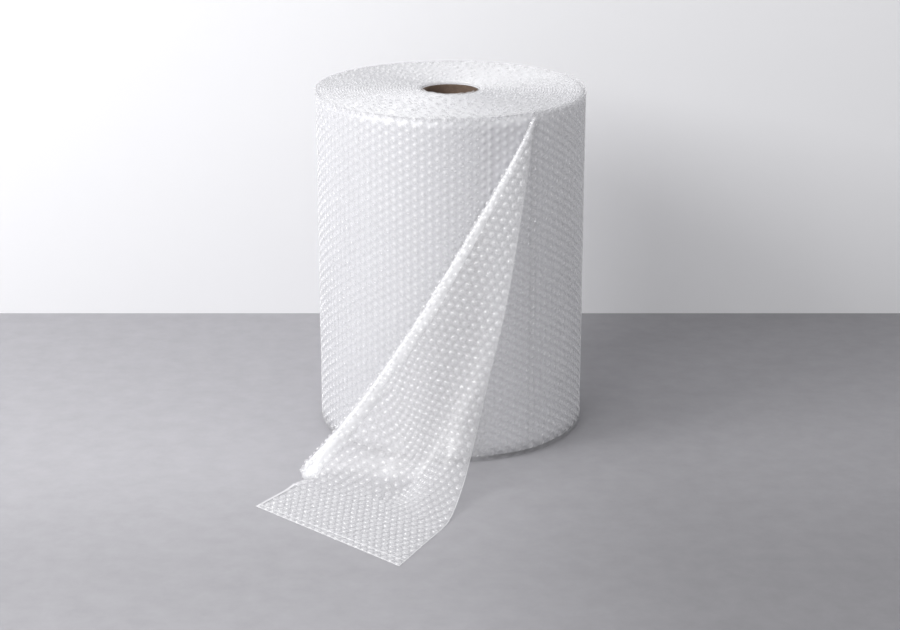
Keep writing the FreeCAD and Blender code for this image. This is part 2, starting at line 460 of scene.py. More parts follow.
@dataclass(frozen=True)
class CorePaper:
    """Spiral-wound recycled paper board: matte brown plies with a slanting butt seam and short fibres."""

    name: str = "spiral_wound_paper_board"
    light: str = "#6D5B4D"
    dark: str = "#44342A"
    seam: str = "#33271F"
    ply_width: float = 88.0 * MM
    seam_share: float = 0.012
    fibre: float = 1.2 * MM
    fibre_depth: float = 0.3 * MM
    cloud: float = 25.0 * MM

    def material(self) -> bpy.types.Material:
        """Builds the paper's material; the seam climbs by the ply's width with each turn."""
        made, tree = new_material(self.name)
        place = add_node(tree, "ShaderNodeTexCoord")
        axes = add_node(tree, "ShaderNodeSeparateXYZ", {0: place.outputs["Object"]})
        # A dark line that slants round the tube, which gives the eye the paper's wound plies.
        angle = add_node(tree, "ShaderNodeMath", {0: axes.outputs["Y"], 1: axes.outputs["X"]},
                         operation="ARCTAN2")
        turn = add_node(tree, "ShaderNodeMath", {0: angle.outputs["Value"]}, {1: math.tau},
                        operation="DIVIDE")
        rise = add_node(tree, "ShaderNodeMath", {0: axes.outputs["Z"]}, {1: self.ply_width},
                        operation="DIVIDE")
        spiral = add_node(tree, "ShaderNodeMath", {0: turn.outputs["Value"], 1: rise.outputs["Value"]},
                          operation="ADD")
        part = add_node(tree, "ShaderNodeMath", {0: spiral.outputs["Value"]}, operation="FRACT")
        line = add_node(tree, "ShaderNodeMapRange", {"Value": part.outputs["Value"]},
                        {"From Min": 0.0, "From Max": self.seam_share, "To Min": 1.0, "To Max": 0.0})
        # Flecks 1.2 mm long under clouds 25 mm wide, which look like recycled board.
        fibres = add_node(tree, "ShaderNodeTexNoise", {"Vector": place.outputs["Object"]},
                          {"Scale": 1.0 / self.fibre, "Detail": 4.0, "Roughness": 0.7})
        cloud = add_node(tree, "ShaderNodeTexNoise", {"Vector": place.outputs["Object"]},
                         {"Scale": 1.0 / self.cloud, "Detail": 2.0})
        tone = add_node(tree, "ShaderNodeMath", {0: fibres.outputs["Fac"], 1: cloud.outputs["Fac"]},
                        operation="MULTIPLY")
        spread = add_node(tree, "ShaderNodeMapRange", {"Value": tone.outputs["Value"]},
                          {"From Min": 0.12, "From Max": 0.38, "To Min": 0.0, "To Max": 1.0})
        paper = add_node(tree, "ShaderNodeMix", {0: spread.outputs["Result"]},
                         {COLOR_A: linear(self.dark), COLOR_B: linear(self.light)}, data_type="RGBA")
        seamed = add_node(tree, "ShaderNodeMix",
                          {0: line.outputs["Result"], COLOR_A: paper.outputs[COLOR_OUT]},
                          {COLOR_B: linear(self.seam)}, data_type="RGBA")
        bump = add_node(tree, "ShaderNodeBump", {"Height": fibres.outputs["Fac"]},
                        {"Strength": 0.4, "Distance": self.fibre_depth})
        shader = add_node(tree, "ShaderNodeBsdfPrincipled",
                          {"Base Color": seamed.outputs[COLOR_OUT], "Normal": bump.outputs["Normal"]},
                          {"Roughness": 0.85, "IOR": 1.5})
        add_node(tree, "ShaderNodeOutputMaterial", {"Surface": shader.outputs["BSDF"]})
        return made


@dataclass(frozen=True)
class RollShape:
    """Sizes of the wound film, as the CAD part has them, and of its curled lower rim."""

    radius: float = 195.0 * MM
    film: float = 4.0 * MM
    width: float = 500.0 * MM
    bore: float = 42.3 * MM
    leave_angle: float = math.radians(36.3)
    tangent_angle: float = math.radians(11.6)
    curl_height: float = 7.0 * MM
    curl: float = 3.0 * MM
    first_row: float = 9.0 * MM

    def from_front(self, angle: float, radius: float, height: float = 0.0) -> Vector:
        """The point at an angle from the front, a radius and a height."""
        return Vector((radius * math.sin(angle), -radius * math.cos(angle), height))

    def turn_radius(self, wound: float) -> float:
        """Radius of the flat layer after an angle wound inwards from where the loose end leaves."""
        return self.radius - self.film * wound / math.tau

    def curled(self, height: float) -> float:
        """How far the lower rim curls inwards at a height, under the roll's weight."""
        return self.curl * max(1 - height / self.curl_height, 0.0) ** 2

    @property
    def turns(self) -> float:
        """Number of turns between the core and the outside."""
        return (self.radius - self.bore) / self.film


@dataclass
class DomeField:
    """Formed bubbles set on a surface by Geometry Nodes, as one mesh.

    The shoulder is the power that flattens a bubble's top, and the spread is the share by which sizes differ.
    """

    lattice: Lattice
    segments: int = 8
    rings: int = 6
    shoulder: float = 0.62
    spread: float = 0.06
    seed: int = 7

    def tree(self) -> bpy.types.NodeTree:
        """Builds the node tree: a dome with a flattened top at each point, turned to the point's direction.

        Returns:
            The tree, with the bubbles' sizes, seed and material as its inputs.
        """
        tree = bpy.data.node_groups.new("formed_bubbles", "GeometryNodeTree")
        face = tree.interface
        face.new_socket("Geometry", in_out="INPUT", socket_type="NodeSocketGeometry")
        for name, value in (("Radius", self.lattice.radius), ("Height", self.lattice.height),
                            ("Shoulder", self.shoulder), ("Spread", self.spread)):
            face.new_socket(name, in_out="INPUT", socket_type="NodeSocketFloat").default_value = value
        for name, value in (("Segments", self.segments), ("Rings", self.rings), ("Seed", self.seed)):
            face.new_socket(name, in_out="INPUT", socket_type="NodeSocketInt").default_value = value
        face.new_socket("Material", in_out="INPUT", socket_type="NodeSocketMaterial")
        face.new_socket("Geometry", in_out="OUTPUT", socket_type="NodeSocketGeometry")
        given = add_node(tree, "NodeGroupInput").outputs
        ball = add_node(tree, "GeometryNodeMeshUVSphere",
                        {"Segments": given["Segments"], "Rings": given["Rings"]}, {"Radius": 1.0})
        place = add_node(tree, "GeometryNodeInputPosition")
        axes = add_node(tree, "ShaderNodeSeparateXYZ", {0: place.outputs[0]})
        below = add_node(tree, "FunctionNodeCompare", {"A": axes.outputs["Z"]}, {"B": -0.01},
                         operation="LESS_THAN")
        dome = add_node(tree, "GeometryNodeDeleteGeometry",
                        {"Geometry": ball.outputs["Mesh"], "Selection": below.outputs[0]})
        rise = add_node(tree, "ShaderNodeMath", {0: axes.outputs["Z"]}, {1: 0.0}, operation="MAXIMUM")
        top = add_node(tree, "ShaderNodeMath", {0: rise.outputs[0], 1: given["Shoulder"]}, operation="POWER")
        full = add_node(tree, "ShaderNodeCombineXYZ",
                        {"X": axes.outputs["X"], "Y": axes.outputs["Y"], "Z": top.outputs[0]})
        steep = add_node(tree, "ShaderNodeMath", {1: rise.outputs[0]}, {0: 1.0}, operation="SUBTRACT")
        marked = add_node(tree, "GeometryNodeStoreNamedAttribute",
                          {"Geometry": dome.outputs[0], "Value": steep.outputs[0]}, {"Name": "rim"},
                          data_type="FLOAT", domain="POINT")
        shaped = add_node(tree, "GeometryNodeSetPosition",
                          {"Geometry": marked.outputs[0], "Position": full.outputs[0]})
        way = add_node(tree, "GeometryNodeInputNamedAttribute", values={"Name": "way"},
                       data_type="FLOAT_VECTOR")
        turned = add_node(tree, "FunctionNodeAlignRotationToVector", {"Vector": way.outputs[0]}, axis="Z")
        number = add_node(tree, "GeometryNodeInputIndex")
        least = add_node(tree, "ShaderNodeMath", {1: given["Spread"]}, {0: 1.0}, operation="SUBTRACT")
        grown = add_node(tree, "FunctionNodeRandomValue",
                         {2: least.outputs[0], "ID": number.outputs[0], "Seed": given["Seed"]}, {3: 1.0})
        size = add_node(tree, "ShaderNodeCombineXYZ",
                        {"X": given["Radius"], "Y": given["Radius"], "Z": given["Height"]})
        scale = add_node(tree, "ShaderNodeVectorMath", {0: size.outputs[0], "Scale": grown.outputs[1]},
                         operation="SCALE")
        set_out = add_node(tree, "GeometryNodeInstanceOnPoints",
                           {"Points": given["Geometry"], "Instance": shaped.outputs[0],
                            "Rotation": turned.outputs[0], "Scale": scale.outputs[0]})
        real = add_node(tree, "GeometryNodeRealizeInstances", {"Geometry": set_out.outputs[0]})
        smooth = add_node(tree, "GeometryNodeSetShadeSmooth", {"Geometry": real.outputs[0]})
        coated = add_node(tree, "GeometryNodeSetMaterial",
                          {"Geometry": smooth.outputs[0], "Material": given["Material"]})
        add_node(tree, "NodeGroupOutput", {0: coated.outputs[0]})
        return tree

    def build(self, name: str, places: Sequence[Vector], ways: Sequence[Vector],
              material: bpy.types.Material) -> bpy.types.Object:
        """Sets a bubble at each place.

        Args:
            name: Name of the new piece.
            places: Centres of the bubbles' rims.
            ways: Directions that the bubbles rise in.
            material: The film that they are formed of.

        Returns:
            The bubbles as a plain mesh.
        """
        seeds = bpy.data.meshes.new(name + "_places")
        seeds.from_pydata([tuple(p) for p in places], [], [])
        flat = [value for way in ways for value in way]
        seeds.attributes.new("way", "FLOAT_VECTOR", "POINT").data.foreach_set("vector", flat)
        holder = bpy.data.objects.new(name + "_places", seeds)
        bpy.context.scene.collection.objects.link(holder)
        tree = self.tree()
        modifier = holder.modifiers.new("bubbles", "NODES")
        modifier.node_group = tree
        sockets = {item.name: item.identifier for item in tree.interface.items_tree if item.in_out == "INPUT"}
        modifier[sockets["Material"]] = material
        held = holder.evaluated_get(bpy.context.evaluated_depsgraph_get())
        mesh = bpy.data.meshes.new_from_object(held)
        mesh.name = name
        holder.modifiers.clear()
        bpy.data.objects.remove(holder)
        piece = bpy.data.objects.new(name, mesh)
        bpy.context.scene.collection.objects.link(piece)
        return piece


def smooth_line(points: Sequence[Vector]) -> list[Vector]:
    """Points along a smooth line through the given ones.

    Args:
        points: Places that the line passes through, with SPAN_STEPS steps between two of them.

    Returns:
        The line's points, the first and last of the given ones among them.
    """
    ends = [points[0] * 2 - points[1], *points, points[-1] * 2 - points[-2]]
    line = [points[0].copy()]
    for before, start, stop, after in zip(ends, ends[1:], ends[2:], ends[3:]):
        gap_before = max((start - before).length ** 0.5, 1e-6)
        gap = (stop - start).length ** 0.5
        gap_after = max((after - stop).length ** 0.5, 1e-6)
        span = stop - start
        pull_start = span + ((start - before) / gap_before - (stop - before) / (gap_before + gap)) * gap
        pull_stop = span + ((after - stop) / gap_after - (after - start) / (gap + gap_after)) * gap
        for step in range(1, SPAN_STEPS + 1):
            u = step / SPAN_STEPS
            line.append(start * (2 * u ** 3 - 3 * u * u + 1) + pull_start * (u ** 3 - 2 * u * u + u)
                        + stop * (3 * u * u - 2 * u ** 3) + pull_stop * (u ** 3 - u * u))
    return line


class MeasuredLine:
    """A line that is asked for places by the distance along it."""

    def __init__(self, points: Sequence[Vector]) -> None:
        """Measures the line.

        Args:
            points: The line's points, from its start to its end.
        """
        self.points = list(points)
        self.marks = [0.0]
        for a, b in zip(self.points, self.points[1:]):
            self.marks.append(self.marks[-1] + (b - a).length)

    @property
    def length(self) -> float:
        """The line's whole length."""
        return self.marks[-1]

    def at(self, distance: float) -> Vector:
        """Finds a place on the line.

        Args:
            distance: Distance from the line's start, kept within its length.

        Returns:
            The place.
        """
        distance = min(max(distance, 0.0), self.length)
        index = max(i for i, mark in enumerate(self.marks) if mark <= distance + 1e-12)
        if index >= len(self.points) - 1:
            return self.points[-1].copy()
        span = self.marks[index + 1] - self.marks[index]
        return self.points[index].lerp(self.points[index + 1], (distance - self.marks[index]) / span)


@dataclass
class LooseEnd:
    """The web's last stretch: a standing wall, a slanting fold, and a flap that falls to the floor.

    A row counts down the flap, from 0 at the rim through 1 at the crease by the floor to 2 at the cut end. A
    share counts across it, from 0 at the fold or the left edge to 1 at the free edge. free_edge has places of
    that edge between the rim and the floor, as shares of its way in X and Y and of the height still left.
    """

    roll: RollShape
    pull_out: float = 252.0 * MM
    sag: float = 32.0 * MM
    sag_shift: float = 1.4
    top_drop: float = 6.0 * MM
    fold_top: float = 0.9 * MM
    fold_foot: float = 8.0 * MM
    fold_foot_height: float = 9.0 * MM
    fold_reach: float = 1.6
    rise_pull: float = 1.5
    fall_pull: float = 1.7
    floor_lift: float = 0.5 * MM
    left_run: float = 106.0 * MM
    left_way: float = math.radians(-123.1)
    cut_width: float = 273.0 * MM
    cut_way: float = math.radians(-43.5)
    touch_width: float = 249.0 * MM
    touch_way: float = math.radians(-36.4)
    free_edge: tuple[tuple[float, float, float], ...] = (
        (0.12, 0.12, 0.80), (0.33, 0.29, 0.50), (0.53, 0.41, 0.30), (0.68, 0.51, 0.15), (0.82, 0.69, 0.045))
    crown: float = 7.0 * MM
    crown_way: tuple[float, float, float] = (0.35, -0.93, 0.1)
    crease_share: float = 0.83
    belly: float = 36.0 * MM
    belly_end: float = 0.7
    left_fall: float = 0.45
    foot_share: float = 0.3
    curl_fade: float = 60.0 * MM
    falling_rows: int = 96
    floor_rows: int = 36
    wall_steps: int = 16
    fold_steps: int = 10
    flap_steps: int = 44
    fade_rows: int = 8
    settle_passes: int = 4
    free_line: MeasuredLine = field(init=False)
    crease_mark: float = field(init=False)
    left_corner: Vector = field(init=False)
    front_corner: Vector = field(init=False)

    def __post_init__(self) -> None:
        """Measures the free edge and finds the corners on the floor."""
        foot = self.fold_exit(1.0)
        start = self.fold_exit(0.0)
        ground = Vector((foot.x, foot.y, self.floor_lift))
        left = ground + self.heading(self.left_way, self.left_run)
        front = left + self.heading(self.cut_way, self.cut_width)
        touch = ground + self.heading(self.touch_way, self.touch_width)
        span = touch - start
        through = [start]
        for share_x, share_y, share_height in self.free_edge:
            through.append(Vector((start.x + span.x * share_x, start.y + span.y * share_y,
                                   touch.z - span.z * share_height)))
        through += [touch, touch.lerp(front, 0.5), front]
        edge = smooth_line(through)
        self.free_line = MeasuredLine(edge)
        spans_to_touch = len(self.free_edge) + 1
        fall = MeasuredLine(edge[:SPAN_STEPS * spans_to_touch + 1]).length
        self.crease_mark = fall * self.crease_share
        self.left_corner, self.front_corner = left, front

    @staticmethod
    def heading(way: float, length: float) -> Vector:
        """A step over the floor in a direction measured from +X."""
        return Vector((length * math.cos(way), length * math.sin(way), 0.0))

    @property
    def wrapped_run(self) -> float:
        """Length of the stretch that still lies on the roll."""
        return (self.roll.leave_angle - self.roll.tangent_angle) * self.roll.radius

    @property
    def hem_run(self) -> float:
        """Length from the fold's start at the rim to its foot, measured along the floor."""
        return self.wrapped_run + self.pull_out

    def wall_place(self, run: float) -> tuple[Vector, Vector]:
        """Finds the standing film's outer face.

        Args:
            run: Distance along the floor from where the fold starts at the rim.

        Returns:
            The place on the floor and the face's outward direction.
        """
        if run <= self.wrapped_run:
            angle = self.roll.leave_angle - run / self.roll.radius
            return self.roll.from_front(angle, self.roll.radius), self.roll.from_front(angle, 1.0)
        outward = self.roll.from_front(self.roll.tangent_angle, 1.0)
        along = self.roll.from_front(self.roll.tangent_angle - math.pi / 2, 1.0)
        return outward * self.roll.radius + along * (run - self.wrapped_run), outward

    def fold_radius(self, share: float) -> float:
        """Radius of the fold's flat layer."""
        return self.fold_top + (self.fold_foot - self.fold_top) * math.sqrt(share)

    def fold_height(self, share: float) -> float:
        """Height of the fold over the floor, at a share of the way down it."""
        top = self.roll.width - self.top_drop
        foot = self.floor_lift + self.fold_foot_height
        return top + (foot - top) * share - self.sag * math.sin(math.pi * share ** self.sag_shift)

    def fold_exit(self, share: float) -> Vector:
        """Where the flap starts down from the fold."""
        place, outward = self.wall_place(share * self.hem_run)
        return place + outward * (2 * self.fold_radius(share)) + UP * self.fold_height(share)

    def held(self, row: float) -> Vector:
        """Finds a place on the flap's held side.

        Args:
            row: Up to 1 for the fold, and from 1 to 2 for the left edge.

        Returns:
            The place.
        """
        if row <= 1:
            return self.fold_exit(row)
        foot = self.fold_exit(1.0)
        level = self.floor_lift + (foot.z - self.floor_lift) * max(1 - (row - 1) / self.left_fall, 0.0) ** 2
        place = foot.lerp(self.left_corner, row - 1)
        return Vector((place.x, place.y, level))

    def free(self, row: float) -> Vector:
        """Finds a place on the flap's free side.

        Args:
            row: Up to 1 for the fall to the crease, and from 1 to 2 for the rest.

        Returns:
            The place.
        """
        line = self.free_line
        if row <= 1:
            place = line.at(self.crease_mark * row)
        else:
            place = line.at(self.crease_mark + (line.length - self.crease_mark) * (row - 1))
        place.z = max(place.z, self.floor_lift)
        return place

    def flap_place(self, row: float, share: float) -> Vector:
        """A place on the flap's flat layer.

        Args:
            row: 0 at the rim, 1 at the crease where the film comes to the floor, 2 at the cut end.
            share: 0 at the fold or left edge, 1 at the free edge.

        Returns:
            The place.
        """
        held, free = self.held(row), self.free(row)
        place = held.lerp(free, share)
        bow = math.sin(math.pi * min(max(share, 0.0), 1.0))
        settle = ease((row - 0.5) / 0.5)
        shift = settle if row <= 1 else 1 - ease((row - 1) / self.belly_end)
        place.y -= self.belly * bow ** 0.9 * shift
        low = self.floor_lift + max(held.z - self.floor_lift, 0) * max(1 - share / self.foot_share, 0.0) ** 2
        low += (free.z - self.floor_lift) * ease((share - 0.5) / 0.5)
        place.z = place.z * (1 - settle) + low * settle
        airborne = max(1 - row, 0.0)
        place += Vector(self.crown_way) * (self.crown * math.sin(math.pi * airborne) * bow)
        return place

    def fold_curve(self, share: float) -> list[Vector]:
        """The flat layer's way over the fold.

        Args:
            share: 0 where the fold starts at the rim, 1 at its foot.

        Returns:
            Points of a curve from the standing wall to the flap.
        """
        place = self.wall_place(share * self.hem_run)[0]
        reach = self.fold_reach * self.fold_radius(share)
        low = max(self.fold_height(share) - reach, self.floor_lift)
        rise_from = place + UP * low
        fall_from = self.flap_place(share, 0.0)
        fall_way = (self.flap_place(share, 0.06) - fall_from).normalized()
        fall_to = fall_from + fall_way * reach * 0.5
        first = rise_from + UP * reach * self.rise_pull
        second = fall_to - fall_way * reach * self.fall_pull
        curve = []
        for step in range(self.fold_steps + 1):
            u = step / self.fold_steps
            curve.append(rise_from * (1 - u) ** 3 + first * (3 * u * (1 - u) ** 2)
                         + second * (3 * u * u * (1 - u)) + fall_to * u ** 3)
        return curve

    def fold_share(self, row: float, curve: Sequence[Vector]) -> float:
        """Share of the flap's width that the fold's curve already covers."""
        width = (self.free(row) - self.held(row)).length
        return min((curve[-1] - self.held(row)).length / max(width, 1 * MM), 1.0)

    def sheet_mesh(self) -> tuple[list[Vector], list[tuple[int, ...]], list[tuple[float, float]],
                                  list[float]]:
        """Builds the loose end's flat layer.

        The standing stretch takes its web coordinates from the web. The flap's are set far off them, as no
        outlines are pressed into it: its bubbles are meshes that lie on its outside.

        Returns:
            Points, faces, web coordinates in millimetres and the shares of pressed outlines.
        """
        points, uvs, faces, pressed = [], [], [], []
        flap_web = 1000
        width = self.wall_steps + self.fold_steps + self.flap_steps + 1
        for index in range(self.falling_rows + 1):
            row = index / self.falling_rows
            place, outward = self.wall_place(row * self.hem_run)
            curve = self.fold_curve(row)
            along = row * self.hem_run / MM
            curled = 1 - ease((row * self.hem_run - self.wrapped_run) / self.curl_fade)
            for step in range(self.wall_steps):
                height = self.floor_lift + (curve[0].z - self.floor_lift) * (step / self.wall_steps) ** 2
                points.append(place + UP * height - outward * self.roll.curled(height) * curled)
                uvs.append((along, height / MM))
                pressed.append(1.0)
            for step, spot in enumerate(curve):
                points.append(spot)
                uvs.append((along, curve[0].z / MM + step))
                pressed.append(max(1 - 2 * step / self.fold_steps, 0.0))
            start = self.fold_share(row, curve)
            for step in range(1, self.flap_steps + 1):
                share = start + (1 - start) * step / self.flap_steps
                points.append(self.flap_place(row, share))
                uvs.append((along + share, flap_web + share))
                pressed.append(0.0)
        faces += grid_faces(self.falling_rows + 1, width)
        base = len(points)
        columns = self.flap_steps + 1
        start = self.fold_share(1.0, self.fold_curve(1.0))
        for index in range(self.floor_rows + 1):
            row = 1 + index / self.floor_rows
            fade = start * (1 - ease(index / self.fade_rows))
            for step in range(columns):
                share = fade + (1 - fade) * step / self.flap_steps
                points.append(self.flap_place(row, share))
                uvs.append((row * 100 + share, flap_web + share))
                pressed.append(0.0)
        faces += [tuple(base + i for i in quad) for quad in grid_faces(self.floor_rows + 1, columns)]
        return points, faces, uvs, pressed

    def slopes(self, row: float, share: float) -> tuple[Vector, Vector]:
        """The flap's directions at a place.

        Args:
            row: The place's row.
            share: The place's share across.

        Returns:
            The change of the place down the flap and across it, per unit of row and of share.
        """
        step = 0.004
        down = self.flap_place(row + step, share) - self.flap_place(row - step, share)
        across = self.flap_place(row, share + step) - self.flap_place(row, share - step)
        return down / (2 * step), across / (2 * step)

    def normal(self, row: float, share: float) -> Vector:
        """The flap's outward normal, which points up where it lies on the floor.

        Args:
            row: The place's row.
            share: The place's share across.

        Returns:
            The normal, of length 1.
        """
        down, across = self.slopes(min(max(row, 0.01), 1.99), min(max(share, 0.01), 0.99))
        found = down.cross(across).normalized()
        front_and_up = Vector((-0.2, -0.7, 0.7))
        return -found if found.dot(front_and_up) < 0 else found

    def settle(self, guess: Vector, row: float, share: float) -> tuple[float, float]:
        """Finds the place on the flap that is nearest to a guess.

        Args:
            guess: A place near the flap.
            row: Row to start the search from.
            share: Share across to start from.

        Returns:
            The row and share found, which may lie a little outside the flap.
        """
        for _ in range(self.settle_passes):
            off = guess - self.flap_place(row, share)
            down, across = self.slopes(row, share)
            a, b, c = down.dot(down), down.dot(across), across.dot(across)
            det = max(a * c - b * b, 1e-9)
            row += (c * down.dot(off) - b * across.dot(off)) / det
            share += (a * across.dot(off) - b * down.dot(off)) / det
            row, share = min(max(row, 0.004), 2.05), min(max(share, -0.2), 1.05)
        return row, share

    def edge_row(self, run: float) -> float:
        """The row that a place on the free edge belongs to.

        Args:
            run: Distance from the front corner, up the free edge.

        Returns:
            The row.
        """
        length = self.free_line.length
        mark = length - run
        if mark < self.crease_mark:
            return mark / self.crease_mark
        return 1 + (mark - self.crease_mark) / (length - self.crease_mark)


@dataclass
class BubbleNet:
    """The flap's bubbles, set out from the free edge inwards, so that each keeps its distance to the others.

    Over cut_stretch from the front corner the lines run along the cut end, and over turn_stretch after it
    they turn until they are square to the free edge.
    """

    shape: LooseEnd
    lattice: Lattice
    edge_gap: float = 0.3 * MM
    cut_stretch: float = 0.135
    turn_stretch: float = 0.16
    most_across: int = 32
    fold_room: float = 2.0 * MM
    places: dict[tuple[int, int], Vector] = field(default_factory=dict)
    marks: dict[tuple[int, int], tuple[float, float]] = field(default_factory=dict)

    def put(self, key: tuple[int, int], guess: Vector, row: float, share: float) -> None:
        """Sets one bubble at the flap's place nearest to a guess, if it lies on the flap.

        Args:
            key: The bubble's line across the web and its number on it, from the free edge.
            guess: About where the bubble lies.
            row: The guess's row, about.
            share: The guess's share across, about.
        """
        row, share = self.shape.settle(guess, row, share)
        width = (self.shape.free(row) - self.shape.held(row)).length
        room = self.lattice.radius if row > 1 else self.fold_room
        if 0.01 < row < 2.0 and share * width > room:
            self.places[key] = self.shape.flap_place(row, share)
            self.marks[key] = (row, share)

    @property
    def cut_way(self) -> Vector:
        """Direction of the cut end, from the free edge inwards."""
        return (self.shape.left_corner - self.shape.front_corner).normalized()

    def run(self, line: int) -> float:
        """Distance of a line across the web from the front corner, up the free edge."""
        return self.lattice.radius + self.edge_gap + line * self.lattice.column_pitch

    def start(self, line: int) -> None:
        """Sets the bubble next to the free edge on one line across the web.

        Args:
            line: The line's number, counted from the front corner.
        """
        run = self.run(line)
        row = self.shape.edge_row(run)
        edge = self.shape.free(row)
        along = (self.shape.free(row + 0.005) - self.shape.free(row - 0.005)).normalized()
        inward = self.shape.normal(row, 0.97).cross(along).normalized()
        if inward.dot(self.shape.held(row) - edge) < 0:
            inward = -inward
        turned = ease((run - self.cut_stretch) / self.turn_stretch)
        inward = (inward * turned + self.cut_way * (1 - turned)).normalized()
        off = self.lattice.radius + self.edge_gap + (self.lattice.pitch / 2 if line % 2 else 0.0)
        width = max((edge - self.shape.held(row)).length, 1 * MM)
        self.put((line, 0), edge + inward * off, row, 1 - off / width)

    def step(self, line: int, number: int) -> None:
        """Sets one more bubble on a line, a pitch further from the free edge than the last one.

        Args:
            line: The line's number, counted from the front corner.
            number: The bubble's number on it, from the free edge.
        """
        last = self.places.get((line, number - 1))
        if last is None:
            return
        ahead = number if line % 2 else number - 1
        guesses = []
        beside = [self.places.get((line + side, ahead)) for side in (-1, 1)]
        before = [self.places.get((line + side, ahead - 1)) for side in (-1, 1)]
        if None not in beside:
            guesses.append(beside[0] + beside[1] - last)
        else:
            guesses += [last + a - b for a, b in zip(beside, before) if a is not None and b is not None]
        if self.run(line) < self.cut_stretch:
            guesses = [last + self.cut_way * self.lattice.pitch]
        if not guesses:
            return
        guess = sum(guesses, Vector()) / len(guesses)
        row, share = self.marks[line, number - 1]
        width = max((self.shape.free(row) - self.shape.held(row)).length, 1 * MM)
        self.put((line, number), guess, row, share - self.lattice.pitch / width)

    def fill(self) -> list[tuple[float, float]]:
        """Covers the flap.

        Returns:
            The row and share of each bubble.
        """
        lines = int(self.shape.free_line.length / self.lattice.column_pitch)
        for line in range(lines):
            self.start(line)
        for number in range(1, self.most_across):
            for odd in (0, 1):
                for line in range(odd, lines, 2):
                    self.step(line, number)
        return [self.marks[key] for key in sorted(self.marks)]


